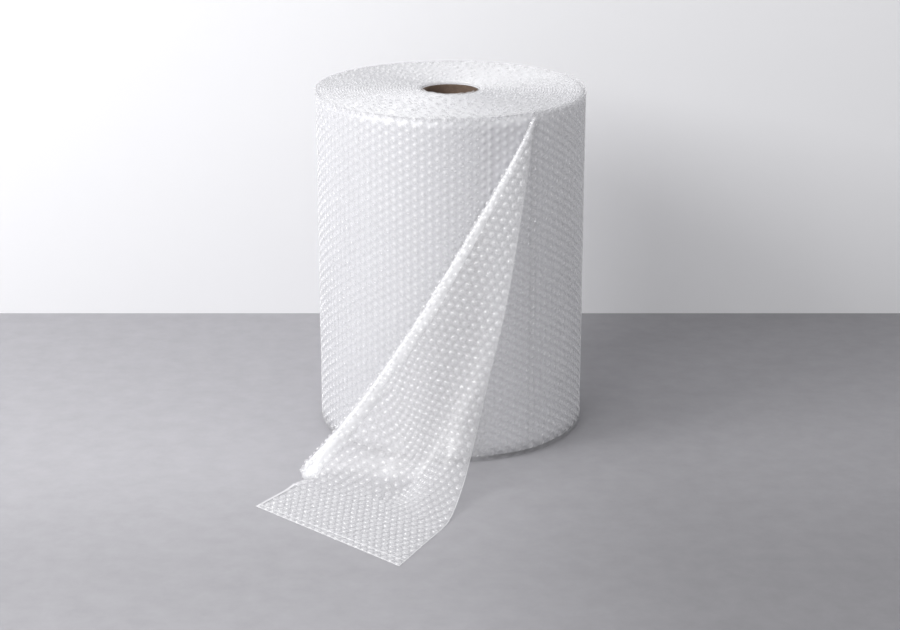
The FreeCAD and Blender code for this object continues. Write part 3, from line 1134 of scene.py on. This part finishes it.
@dataclass
class LooseEndFilm:
    """The loose end's film: its flat layer and rims, its bubbles, and the bunched film in the fold."""

    shape: LooseEnd
    lattice: Lattice
    film: ClearFilm
    bubble: ClearFilm
    bunched: ClearFilm
    sealed: ClearFilm
    band_top: float = 6.0 * MM
    band_foot: float = 19.5 * MM
    border: float = 1.1 * MM
    left_border: float = 4.5 * MM
    closing: float = 0.035
    slope: float = math.radians(56)
    band_grown: float = 0.45
    fold_rows: int = 62
    fold_lanes: tuple[float, float, float] = (0.12, 0.5, 0.88)
    bunched_rows: int = 150
    bunched_around: int = 16

    def band(self, share: float) -> float:
        """Upright height of the bunched film, whose width square to the fold grows down to band_grown."""
        width = self.band_top + (self.band_foot - self.band_top) * min(share / self.band_grown, 1.0) ** 0.9
        return width / math.cos(self.slope)

    def flap_bubbles(self) -> tuple[list[Vector], list[Vector]]:
        """Places and directions of the flap's bubbles."""
        marks = BubbleNet(self.shape, self.lattice).fill()
        return ([self.shape.flap_place(row, share) for row, share in marks],
                [self.shape.normal(row, share) for row, share in marks])

    def wall_bubbles(self) -> tuple[list[Vector], list[Vector]]:
        """Sets out the standing film's bubbles, which point to the roll's side.

        Returns:
            Places and directions.
        """
        places, ways = [], []
        across = (self.shape.roll.first_row, self.shape.roll.width)
        for along, height in self.lattice.centers((0.0, self.shape.hem_run), across):
            if height > self.shape.fold_height(along / self.shape.hem_run) - self.lattice.radius:
                continue
            place, outward = self.shape.wall_place(along)
            places.append(place + UP * height - outward * self.lattice.sunk)
            ways.append(-outward)
        return places, ways

    def fold_bubbles(self) -> tuple[list[Vector], list[Vector]]:
        """Sets out the crushed bubbles round the outside of the fold, in lanes along it.

        Returns:
            Places and directions.
        """
        places, ways = [], []
        for index in range(self.fold_rows):
            share = (index + 0.5) / self.fold_rows
            for lane, spot in enumerate(self.fold_lanes):
                moved = share + (0.5 / self.fold_rows if lane == 1 else 0.0)
                if moved > 0.995:
                    continue
                curve = self.shape.fold_curve(moved)
                k = int(spot * (len(curve) - 1))
                before, here, after = curve[max(k - 1, 0)], curve[k], curve[min(k + 1, len(curve) - 1)]
                later = self.shape.fold_curve(min(moved + 0.01, 1.0))[k]
                out = (after - before).cross(later - here).normalized()
                middle = (curve[0] + curve[-1]) / 2 - UP * 2 * MM
                if out.dot(here - middle) < 0:
                    out = -out
                places.append(here + ripple(here, 11 * MM, 1.0 * MM))
                ways.append((out + ripple(here, 7 * MM, 0.5)).normalized())
        return places, ways

    def bunched_mesh(self) -> tuple[list[Vector], list[tuple[int, ...]]]:
        """Builds the film that lies bunched inside the fold, as a crinkled roll that closes at its foot.

        Returns:
            Points and faces.
        """
        points, faces = [], []
        rows, around = self.bunched_rows, self.bunched_around
        for index in range(rows + 1):
            share = index / rows
            place, outward = self.shape.wall_place(share * self.shape.hem_run)
            radius = self.shape.fold_radius(share) * 0.92
            tall = self.band(share) / 2
            top = self.shape.fold_height(share) + 0.9 * radius
            middle = place + outward * self.shape.fold_radius(share) + UP * (top - tall)
            closed = math.sqrt(max(1 - max(1 - (1 - share) / self.closing, 0.0) ** 2, 0.02))
            for step in range(around):
                turn = math.tau * step / around
                spot = middle + (outward * math.cos(turn) * radius + UP * math.sin(turn) * tall) * closed
                spot += ripple(spot, 8 * MM, 0.35 * radius)
                spot.z = max(spot.z, self.shape.floor_lift)
                points.append(spot)
        for index in range(rows):
            for step in range(around):
                a, b = index * around + step, index * around + (step + 1) % around
                faces.append((a, a + around, b + around, b))
        faces.append(tuple(range(around)))
        faces.append(tuple(reversed(range(rows * around, (rows + 1) * around))))
        return points, faces

    def border_mesh(self) -> tuple[list[Vector], list[tuple[int, ...]]]:
        """Builds the flap's doubled rims: along the cut end, a little inside it, and along both edges.

        Returns:
            Points and faces.
        """
        across, down = Vector((0.0, -0.03)), Vector((-0.03, 0.0))
        short, long = 60, 180
        cut_rows, free_from, left_from, last = (1.995, 1.93), 0.12, 1.2, 1.99
        tracks = [([Vector((row, k / short)) for k in range(short + 1)], down, self.border)
                  for row in cut_rows]
        free = [Vector((free_from + (last - free_from) * k / long, 1.0)) for k in range(long + 1)]
        left = [Vector((left_from + (last - left_from) * k / short, 0.0)) for k in range(short + 1)]
        tracks += [(free, across, self.border), (left, -across, self.left_border)]
        points, faces = [], []
        for track, inward, width in tracks:
            base = len(points)
            for mark in track:
                place, away = self.shape.flap_place(*mark), self.shape.normal(*mark)
                aside = (self.shape.flap_place(*(mark + inward)) - place).normalized() * width
                points += [place + away * 0.3 * MM, place + aside + away * 0.6 * MM]
            for k in range(base, len(points) - 2, 2):
                quad = (k, k + 2, k + 3, k + 1)
                way = (points[quad[1]] - points[k]).cross(points[quad[3]] - points[k])
                faces.append(quad if way.z > 0 else quad[::-1])
        return points, faces

    def build(self) -> bpy.types.Object:
        """Returns:
            The flat layer.
        """
        points, faces, uvs, pressed = self.shape.sheet_mesh()
        flat = mesh_object("loose_end_film", points, faces, uvs)
        flat.data.attributes.new("pressed", "FLOAT", "POINT").data.foreach_set("value", pressed)
        weld(flat)
        dress(flat, self.film.material(self.lattice))
        bubble = self.bubble.material(self.lattice)
        domes = DomeField(self.lattice, segments=12, rings=8, spread=0.12)
        on_flap = domes.build("flap_bubbles", *self.flap_bubbles(), bubble)
        on_wall = DomeField(self.lattice).build("standing_wall_bubbles", *self.wall_bubbles(), bubble)
        crushed = DomeField(self.lattice, spread=0.55, seed=5)
        on_fold = crushed.build("fold_bubbles", *self.fold_bubbles(), bubble)
        inner = mesh_object("bunched_film", *self.bunched_mesh())
        face_out(inner)
        for piece in (on_flap, on_wall, on_fold):
            dress(piece, bubble)
        # A bubble's clear skin passes nearly all the light on, so the flap stays bright and see-through.
        on_flap.visible_shadow = False
        dress(inner, self.bunched.material(self.lattice))
        rims = mesh_object("flap_rims", *self.border_mesh())
        dress(rims, self.sealed.material(self.lattice))
        return flat


@dataclass
class WoundFilm:
    """The film on the core: the outermost turn, the bubbles under it, the turns' edges and the depth below.

    Five turns' edges are left out at the lower end, where the rim curls in. That gives the eye the dark line
    that the roll stands on.
    """

    roll: RollShape
    lattice: Lattice
    film: ClearFilm
    bubble: ClearFilm
    edge_film: ClearFilm
    depth: WoundDepth
    slit: SlitEnd
    upper_depth: float = 2.2 * MM
    lower_depth: float = 6.5 * MM
    edge_height: float = 2.6 * MM
    edge_thickness: float = 0.4 * MM
    wrapped: float = math.radians(24.7)
    overlap: float = math.radians(5)
    set_in: int = 5
    layer_gap: float = 0.5 * MM
    edge_steps: int = 150
    extra_turn: float = 0.9
    near_column: float = 0.75
    far_column: float = 1.05

    def outermost_turn(self) -> bpy.types.Object:
        """Builds the clear flat layer of the last turn, from rim to rim.

        Returns:
            The piece.
        """
        columns, rows, curled_rows = 361, 45, 4
        points, uvs = [], []
        last = math.tau - self.wrapped + self.overlap
        low = self.roll.curl_height
        spans = rows - 1 - curled_rows
        levels = [low * r / curled_rows for r in range(curled_rows)]
        levels += [low + (self.roll.width - low) * r / spans for r in range(spans + 1)]
        for height in levels:
            for c in range(columns):
                wound = last * c / (columns - 1)
                angle = self.roll.leave_angle + wound
                radius = self.roll.turn_radius(wound) - self.roll.curled(height)
                place = self.roll.from_front(angle, radius, height)
                points.append(place + self.swell(place))
                uvs.append((-wound * self.roll.radius / MM, height / MM))
        piece = mesh_object("outermost_turn", points, grid_faces(rows, columns), uvs)
        pressed = piece.data.attributes.new("pressed", "FLOAT", "POINT")
        pressed.data.foreach_set("value", [1.0] * len(points))
        return piece

    def depth_radius(self, wound: float) -> float:
        """Outer radius of the turns below, which rise again where the loose end lies on them."""
        rise = ease((wound - (math.tau - self.wrapped)) / self.wrapped)
        return self.roll.turn_radius(wound) + self.roll.film * rise - self.lattice.height - self.layer_gap

    def swell(self, place: Vector) -> Vector:
        """The wound film's soft unevenness."""
        return Vector((place.x, place.y, 0)).normalized() * (noise.noise(place / 0.06) * 0.7 * MM)

    def depth_body(self) -> bpy.types.Object:
        """Builds the closed body of the turns below, a film's thickness under the outermost one.

        Returns:
            The piece.
        """
        columns, ends, sides = 240, 18, 30
        low, high = self.lower_depth, self.roll.width - self.upper_depth
        profile = [(k / ends, low) for k in range(ends)]
        profile += [(1.0, low + (high - low) * k / sides) for k in range(sides + 1)]
        profile += [(1 - k / ends, high) for k in range(1, ends + 1)]
        points, uvs, faces = [], [], []
        for share, height in profile:
            for c in range(columns + 1):
                wound = math.tau * c / columns
                radius = self.roll.bore + (self.depth_radius(wound) - self.roll.bore) * share
                angle = self.roll.leave_angle + wound
                raised = self.lift(angle, radius) if height == high else 0.0
                points.append(self.roll.from_front(angle, radius, height + raised))
                uvs.append((-wound * self.roll.radius / MM, height / MM))
        width = columns + 1
        for r in range(len(profile)):
            after = (r + 1) % len(profile)
            for c in range(columns):
                faces.append((r * width + c, r * width + c + 1, after * width + c + 1, after * width + c))
        piece = mesh_object("turns_below", points, faces, uvs)
        weld(piece)
        return piece

    def wall_bubbles(self) -> tuple[list[Vector], list[Vector]]:
        """Sets out the bubbles under the outermost turn.

        Returns:
            Places and directions.
        """
        places, ways = [], []
        length = math.tau * self.roll.radius
        across = (self.roll.first_row, self.roll.width - 6 * MM)
        for along, height in self.lattice.centers((-length, 0.0), across):
            wound = -along / self.roll.radius
            if wound > math.tau - self.wrapped:
                continue
            angle = self.roll.leave_angle + wound
            place = self.roll.from_front(angle, self.roll.turn_radius(wound) - self.lattice.sunk, height)
            places.append(place + self.swell(place))
            ways.append(-self.roll.from_front(angle, 1.0))
        return places, ways

    def end_bubbles(self, end: RollEnd) -> tuple[list[Vector], list[Vector]]:
        """Sets out the bubbles that show between the turns at one end.

        Args:
            end: The roll's end.

        Returns:
            Places and directions.
        """
        places, ways = [], []
        wound, column = self.first_turn(end) * math.tau, 0
        last = (self.roll.turns + self.extra_turn) * math.tau
        while wound < last:
            radius = self.roll.turn_radius(wound)
            if radius < self.roll.bore + self.lattice.height + self.roll.film / 2:
                break
            angle = self.roll.leave_angle + wound
            # Each second column starts deeper in the web, so the bubbles show at two depths in turn.
            deep = self.lattice.radius * (self.far_column if column % 2 else self.near_column)
            jitter = noise.noise(Vector((wound * 5.0, radius * 190, 3.0 + 2 * end.value)))
            height = end.level(deep - jitter * 0.8 * MM, self.roll.width)
            height += self.lift(angle, radius) if end is RollEnd.UPPER else 0.0
            places.append(self.roll.from_front(angle, radius - 0.2 * MM, height))
            lean = noise.noise_vector(Vector((wound * 9.0, radius * 330, 4.0))) * 0.5
            ways.append((-self.roll.from_front(angle, 1.0) + lean + UP * (0.3 * end.value)).normalized())
            wound += self.lattice.column_pitch / radius
            column += 1
        return places, ways

    def first_turn(self, end: RollEnd) -> int:
        """The outermost turn whose edge is made; under the lower rim a dark gap shows in its stead."""
        return self.set_in if end is RollEnd.LOWER else 0

    def lift(self, angle: float, radius: float) -> float:
        """How far the turns stand up or lie low at a place of the upper end, in soft waves."""
        place = self.roll.from_front(angle, radius)
        return noise.noise(Vector((place.x * 9, place.y * 9, 2.5))) * 1.6 * MM

    def edge_strips(self, end: RollEnd) -> bpy.types.Object:
        """Builds the edges of the wound turns' flat layer at one end, as a spiral strip.

        Args:
            end: The roll's end.

        Returns:
            The strip.
        """
        per_turn = self.edge_steps
        first = self.first_turn(end) * per_turn
        steps = int((self.roll.turns + self.extra_turn) * per_turn) - first
        points, faces = [], []
        for index in range(steps + 1):
            wound = math.tau * (first + index) / per_turn
            radius = self.roll.turn_radius(wound)
            angle = self.roll.leave_angle + wound
            spot = Vector((math.cos(angle), math.sin(angle), 0.0)) * radius / (9 * MM)
            level = abs(noise.noise(spot + Vector((0.0, 0.0, wound * 0.35)))) * 1.8 * MM
            raised = self.lift(angle, radius) if end is RollEnd.UPPER else 0.0
            bend = noise.noise(Vector((wound * 7.1, radius * 40, 6.0))) * 0.5 * MM
            for side in (0.0, -self.edge_thickness):
                for depth in (level, self.edge_height):
                    height = end.level(depth, self.roll.width) + raised
                    reach = radius + side + (bend if depth == level and first + index > per_turn else 0.0)
                    points.append(self.roll.from_front(angle, reach, height))
        for index in range(steps):
            a, b = 4 * index, 4 * index + 4
            for low, high in ((1, 0), (0, 2), (2, 3)):
                faces.append((a + low, a + high, b + high, b + low))
        piece = mesh_object(end.name.lower() + "_turn_edges", points, faces)
        face_out(piece)
        return piece

    def build(self) -> list[bpy.types.Object]:
        """Makes the wound film's pieces.

        Returns:
            The pieces, the body of the turns below first.
        """
        bubble, edge = self.bubble.material(self.lattice), self.edge_film.material(self.lattice)
        below = dress(self.depth_body(), self.depth.material(self.lattice))
        below.data.materials.append(self.slit.material(self.roll.film))
        for face in below.data.polygons:
            face.material_index = 1 if abs(face.normal.z) > 0.5 else 0
        outer = dress(self.outermost_turn(), self.film.material(self.lattice))
        on_wall = DomeField(self.lattice).build("wall_bubbles", *self.wall_bubbles(), bubble)
        pieces = [below, outer, dress(on_wall, bubble)]
        for seed, end in enumerate(RollEnd, start=3):
            pieces.append(dress(self.edge_strips(end), edge))
            domes = DomeField(self.lattice, spread=0.25, seed=seed)
            made = domes.build(end.name.lower() + "_end_bubbles", *self.end_bubbles(end), edge)
            pieces.append(dress(made, edge))
        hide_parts("bubble_film")
        return pieces


@dataclass
class PaperCore:
    """The spiral-wound paper core, a tube whose cut ends are slightly worn."""

    inner_radius: float = 38.0 * MM
    outer_radius: float = 42.0 * MM
    height: float = 496.0 * MM
    soft: float = 0.5 * MM
    paper: CorePaper = CorePaper()

    def build(self) -> bpy.types.Object:
        """Makes the core as a closed tube with softly rounded, slightly uneven ends.

        Returns:
            The piece.
        """
        points, faces = [], []
        columns, levels, soft = 144, 12, self.soft
        profile = [(self.inner_radius, soft), (self.inner_radius + soft, 0.0),
                   (self.outer_radius - soft, 0.0), (self.outer_radius, soft)]
        profile += [(self.outer_radius, self.height * k / levels) for k in range(1, levels)]
        profile += [(self.outer_radius, self.height - soft), (self.outer_radius - soft, self.height),
                    (self.inner_radius + soft, self.height), (self.inner_radius, self.height - soft)]
        profile += [(self.inner_radius, self.height * k / levels) for k in range(levels - 1, 0, -1)]
        for radius, height in profile:
            for c in range(columns):
                turn = math.tau * c / columns
                near_end = min(height, self.height - height) < 2 * soft
                wear = noise.noise(Vector((math.cos(turn) * 4, math.sin(turn) * 4, height * 10))) * 0.25 * MM
                spot = Vector((radius * math.cos(turn), radius * math.sin(turn), height))
                spot.z = min(max(spot.z + (wear if near_end else 0.0), 0.0), self.height)
                points.append(spot)
        rings = len(profile)
        for r in range(rings):
            after = (r + 1) % rings
            for c in range(columns):
                d = (c + 1) % columns
                faces.append((r * columns + c, r * columns + d, after * columns + d, after * columns + c))
        piece = mesh_object("paper_core", points, faces)
        face_out(piece)
        dress(piece, self.paper.material())
        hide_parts("core_tube")
        return piece


@dataclass
class Studio:
    """Floor, backdrop, lamps and camera."""

    wall_distance: float = 0.48
    far: float = 6.0
    wall_height: float = 4.0
    floor_color: str = "#AAA9AD"
    floor_mottle: float = 0.05
    mottle_size: float = 35.714 * MM
    floor_painted_shade: float = 0.2
    # Painted shade on the floor: its colour darkens towards the front and more to the right, standing in for
    # the light's falloff.
    painted_shade_right_factor: float = 1.35
    wall_color: str = "#EAEAEC"
    fill_color: str = "#FAFAFB"
    fill_strength: float = 0.58
    lens: float = 82.43
    sensor: float = 36.0
    camera_back: float = 2.8989
    camera_height: float = 1.1240
    camera_tilt: float = math.radians(18.449)

    def surface(self, name: str, color: str, mottle: float, fall: float,
                one_sided: bool) -> bpy.types.Material:
        """Builds a matte surface.

        Args:
            name: The material's name.
            color: Its sRGB hex colour.
            mottle: Share by which the tone wanders.
            fall: Share of painted shade by which the tone darkens towards the front, and the right-hand
                factor times that, by which it darkens to the right.
            one_sided: True to let views from behind pass.

        Returns:
            The material.
        """
        made, tree = new_material(name)
        place = add_node(tree, "ShaderNodeTexCoord")
        cloud = add_node(tree, "ShaderNodeTexNoise", {"Vector": place.outputs["Object"]},
                         {"Scale": 1.0 / self.mottle_size, "Detail": 6.0, "Roughness": 0.65})
        shift = add_node(tree, "ShaderNodeMapRange", {"Value": cloud.outputs["Fac"]},
                         {"From Min": 0.3, "From Max": 0.7, "To Min": 1 - mottle, "To Max": 1 + mottle})
        axes = add_node(tree, "ShaderNodeSeparateXYZ", {0: place.outputs["Object"]})
        # Painted shade where fall is above 0: darker towards the front, and darker still to the right.
        front = add_node(tree, "ShaderNodeMapRange", {"Value": axes.outputs["Y"]},
                         {"From Min": -0.15, "From Max": -0.60, "To Min": 1.0, "To Max": 1 - fall},
                         interpolation_type="SMOOTHSTEP")
        right = add_node(tree, "ShaderNodeMapRange", {"Value": axes.outputs["X"]},
                         {"From Min": -0.10, "From Max": 0.35, "To Min": 1.0,
                          "To Max": 1 - self.painted_shade_right_factor * fall},
                         interpolation_type="SMOOTHSTEP")
        both = add_node(tree, "ShaderNodeMath", {0: front.outputs["Result"], 1: right.outputs["Result"]},
                        operation="MULTIPLY")
        tone = add_node(tree, "ShaderNodeMath", {0: both.outputs["Value"], 1: shift.outputs["Result"]},
                        operation="MULTIPLY")
        tint = add_node(tree, "ShaderNodeVectorMath", {"Scale": tone.outputs["Value"]},
                        {0: linear(color)[:3]}, operation="SCALE")
        shader = add_node(tree, "ShaderNodeBsdfPrincipled", {"Base Color": tint.outputs["Vector"]},
                          {"Roughness": 0.8, "Specular IOR Level": 0.2})
        surface = shader.outputs["BSDF"]
        if one_sided:
            facing = add_node(tree, "ShaderNodeNewGeometry")
            clear = add_node(tree, "ShaderNodeBsdfTransparent")
            mixed = add_node(tree, "ShaderNodeMixShader", {0: facing.outputs["Backfacing"], 1: surface,
                                                           2: clear.outputs["BSDF"]})
            surface = mixed.outputs["Shader"]
        add_node(tree, "ShaderNodeOutputMaterial", {"Surface": surface})
        return made

    def build_stage(self) -> None:
        """Makes the floor and the backdrop that meets it behind the roll."""
        far, y, low, high = self.far, self.wall_distance, -0.01, self.wall_height
        floor = mesh_object("studio_floor", [Vector((-far, -far, 0)), Vector((far, -far, 0)),
                                             Vector((far, far, 0)), Vector((-far, far, 0))], [(0, 1, 2, 3)])
        floor.data.materials.append(self.surface("cast_floor", self.floor_color, self.floor_mottle,
                                                 self.floor_painted_shade, False))
        wall = mesh_object("studio_backdrop", [Vector((-far, y, low)), Vector((far, y, low)),
                                               Vector((far, y, high)), Vector((-far, y, high))],
                           [(0, 1, 2, 3)])
        wall.data.materials.append(self.surface("painted_backdrop", self.wall_color, 0.0, 0.0, True))

    def lamp(self, name: str, place: Vector, aim: Vector, size: float, power: float) -> None:
        """Adds a soft square lamp.

        Args:
            name: The lamp's name.
            place: Where it hangs.
            aim: The place that it points at.
            size: Length of its sides.
            power: Its power in watts.
        """
        data = bpy.data.lights.new(name, "AREA")
        data.shape = "RECTANGLE"
        data.size, data.size_y = size, size
        data.energy = power
        lamp = bpy.data.objects.new(name, data)
        lamp.location = place
        lamp.rotation_euler = (aim - place).to_track_quat("-Z", "Y").to_euler()
        bpy.context.scene.collection.objects.link(lamp)

    def build_light(self) -> None:
        """Sets the world's fill, the key lamp on the left, one at the front and a weak one on the right."""
        world = bpy.data.worlds.new("studio_fill")
        world.use_nodes = True
        tree = world.node_tree
        tree.nodes.clear()
        sky = add_node(tree, "ShaderNodeBackground",
                       values={"Color": linear(self.fill_color), "Strength": self.fill_strength})
        add_node(tree, "ShaderNodeOutputWorld", {"Surface": sky.outputs["Background"]})
        bpy.context.scene.world = world
        middle, above = Vector((0, 0, 0.25)), Vector((0, 0, 0.35))
        # The key lamp draws the bright bands down the wall, and the front lamp lightens the flap.
        self.lamp("key_lamp", Vector((-1.90, -1.20, 1.7)), middle, 1.1, 47.0)
        self.lamp("front_lamp", Vector((-1.05, -2.2, 1.75)), middle, 1.1, 22.0)
        # The right lamp keeps the roll's right side from going dark.
        self.lamp("right_lamp", Vector((1.9, -1.3, 2.0)), above, 1.2, 8.0)

    def build_camera(self) -> None:
        """Sets the camera that sees the roll as the reference view does."""
        data = bpy.data.cameras.new("reference_view")
        data.lens, data.sensor_width = self.lens, self.sensor
        data.clip_start, data.clip_end = 0.05, 50.0
        camera = bpy.data.objects.new("reference_view", data)
        camera.location = (0.0, -self.camera_back, self.camera_height)
        camera.rotation_euler = (math.pi / 2 - self.camera_tilt, 0.0, 0.0)
        bpy.context.scene.collection.objects.link(camera)
        bpy.context.scene.camera = camera


def main() -> None:
    """Builds the stage, the roll, its core and the loose end."""
    logging.basicConfig(level=logging.INFO, format="%(message)s")
    # Vector noise takes its seed from the clock unless one is set, and the crinkles would differ each run.
    noise.seed_set(CRINKLE_SEED)
    bpy.context.scene.view_settings.view_transform = "Standard"
    studio = Studio()
    studio.build_camera()
    studio.build_light()
    studio.build_stage()
    lattice = Lattice()
    roll = RollShape()
    # Blown film, laid flat: clear, with a gloss in which the bubbles' outlines show.
    clear = ClearFilm("clear_polyethylene_film", "#F8F8FA", 0.25, 0.27, pressed=1.0)
    # Two layers sealed together: milkier and glossier, so that a bright line runs round the flap.
    sealed = ClearFilm("sealed_polyethylene_rim", "#F8F8FA", 0.6, 0.3, coat=1.0, wrinkle=0.5)
    # Drawn thin in the mould's cups: very clear and glossy, with a small highlight on each bubble.
    formed = ClearFilm("formed_polyethylene_bubble", "#F4F4F6", 0.16, 0.22, rim_opacity=0.42, coat=1.0,
                       wrinkle=0.35, wrinkle_size=5 * MM)
    # Slit by a blade: duller, so that each turn's edge shows as a soft, pale line.
    cut = ClearFilm("slit_polyethylene_edge", "#ECECEE", 0.32, 0.4, ior=1.51)
    # Many crushed layers on each other: nearly white and dull, as a band down the fold.
    bunched = ClearFilm("bunched_polyethylene_film", "#F6F6F8", 0.66, 0.4, ior=1.51, wrinkle=0.6,
                        wrinkle_size=6 * MM)
    for piece in WoundFilm(roll, lattice, clear, formed, cut, WoundDepth(), SlitEnd()).build():
        log.info("wound film: %s", piece.name)
    log.info("core: %s", PaperCore().build().name)
    loose = LooseEnd(roll)
    log.info("loose end: %s", LooseEndFilm(loose, lattice, clear, formed, bunched, sealed).build().name)


if __name__ == "__main__":
    main()
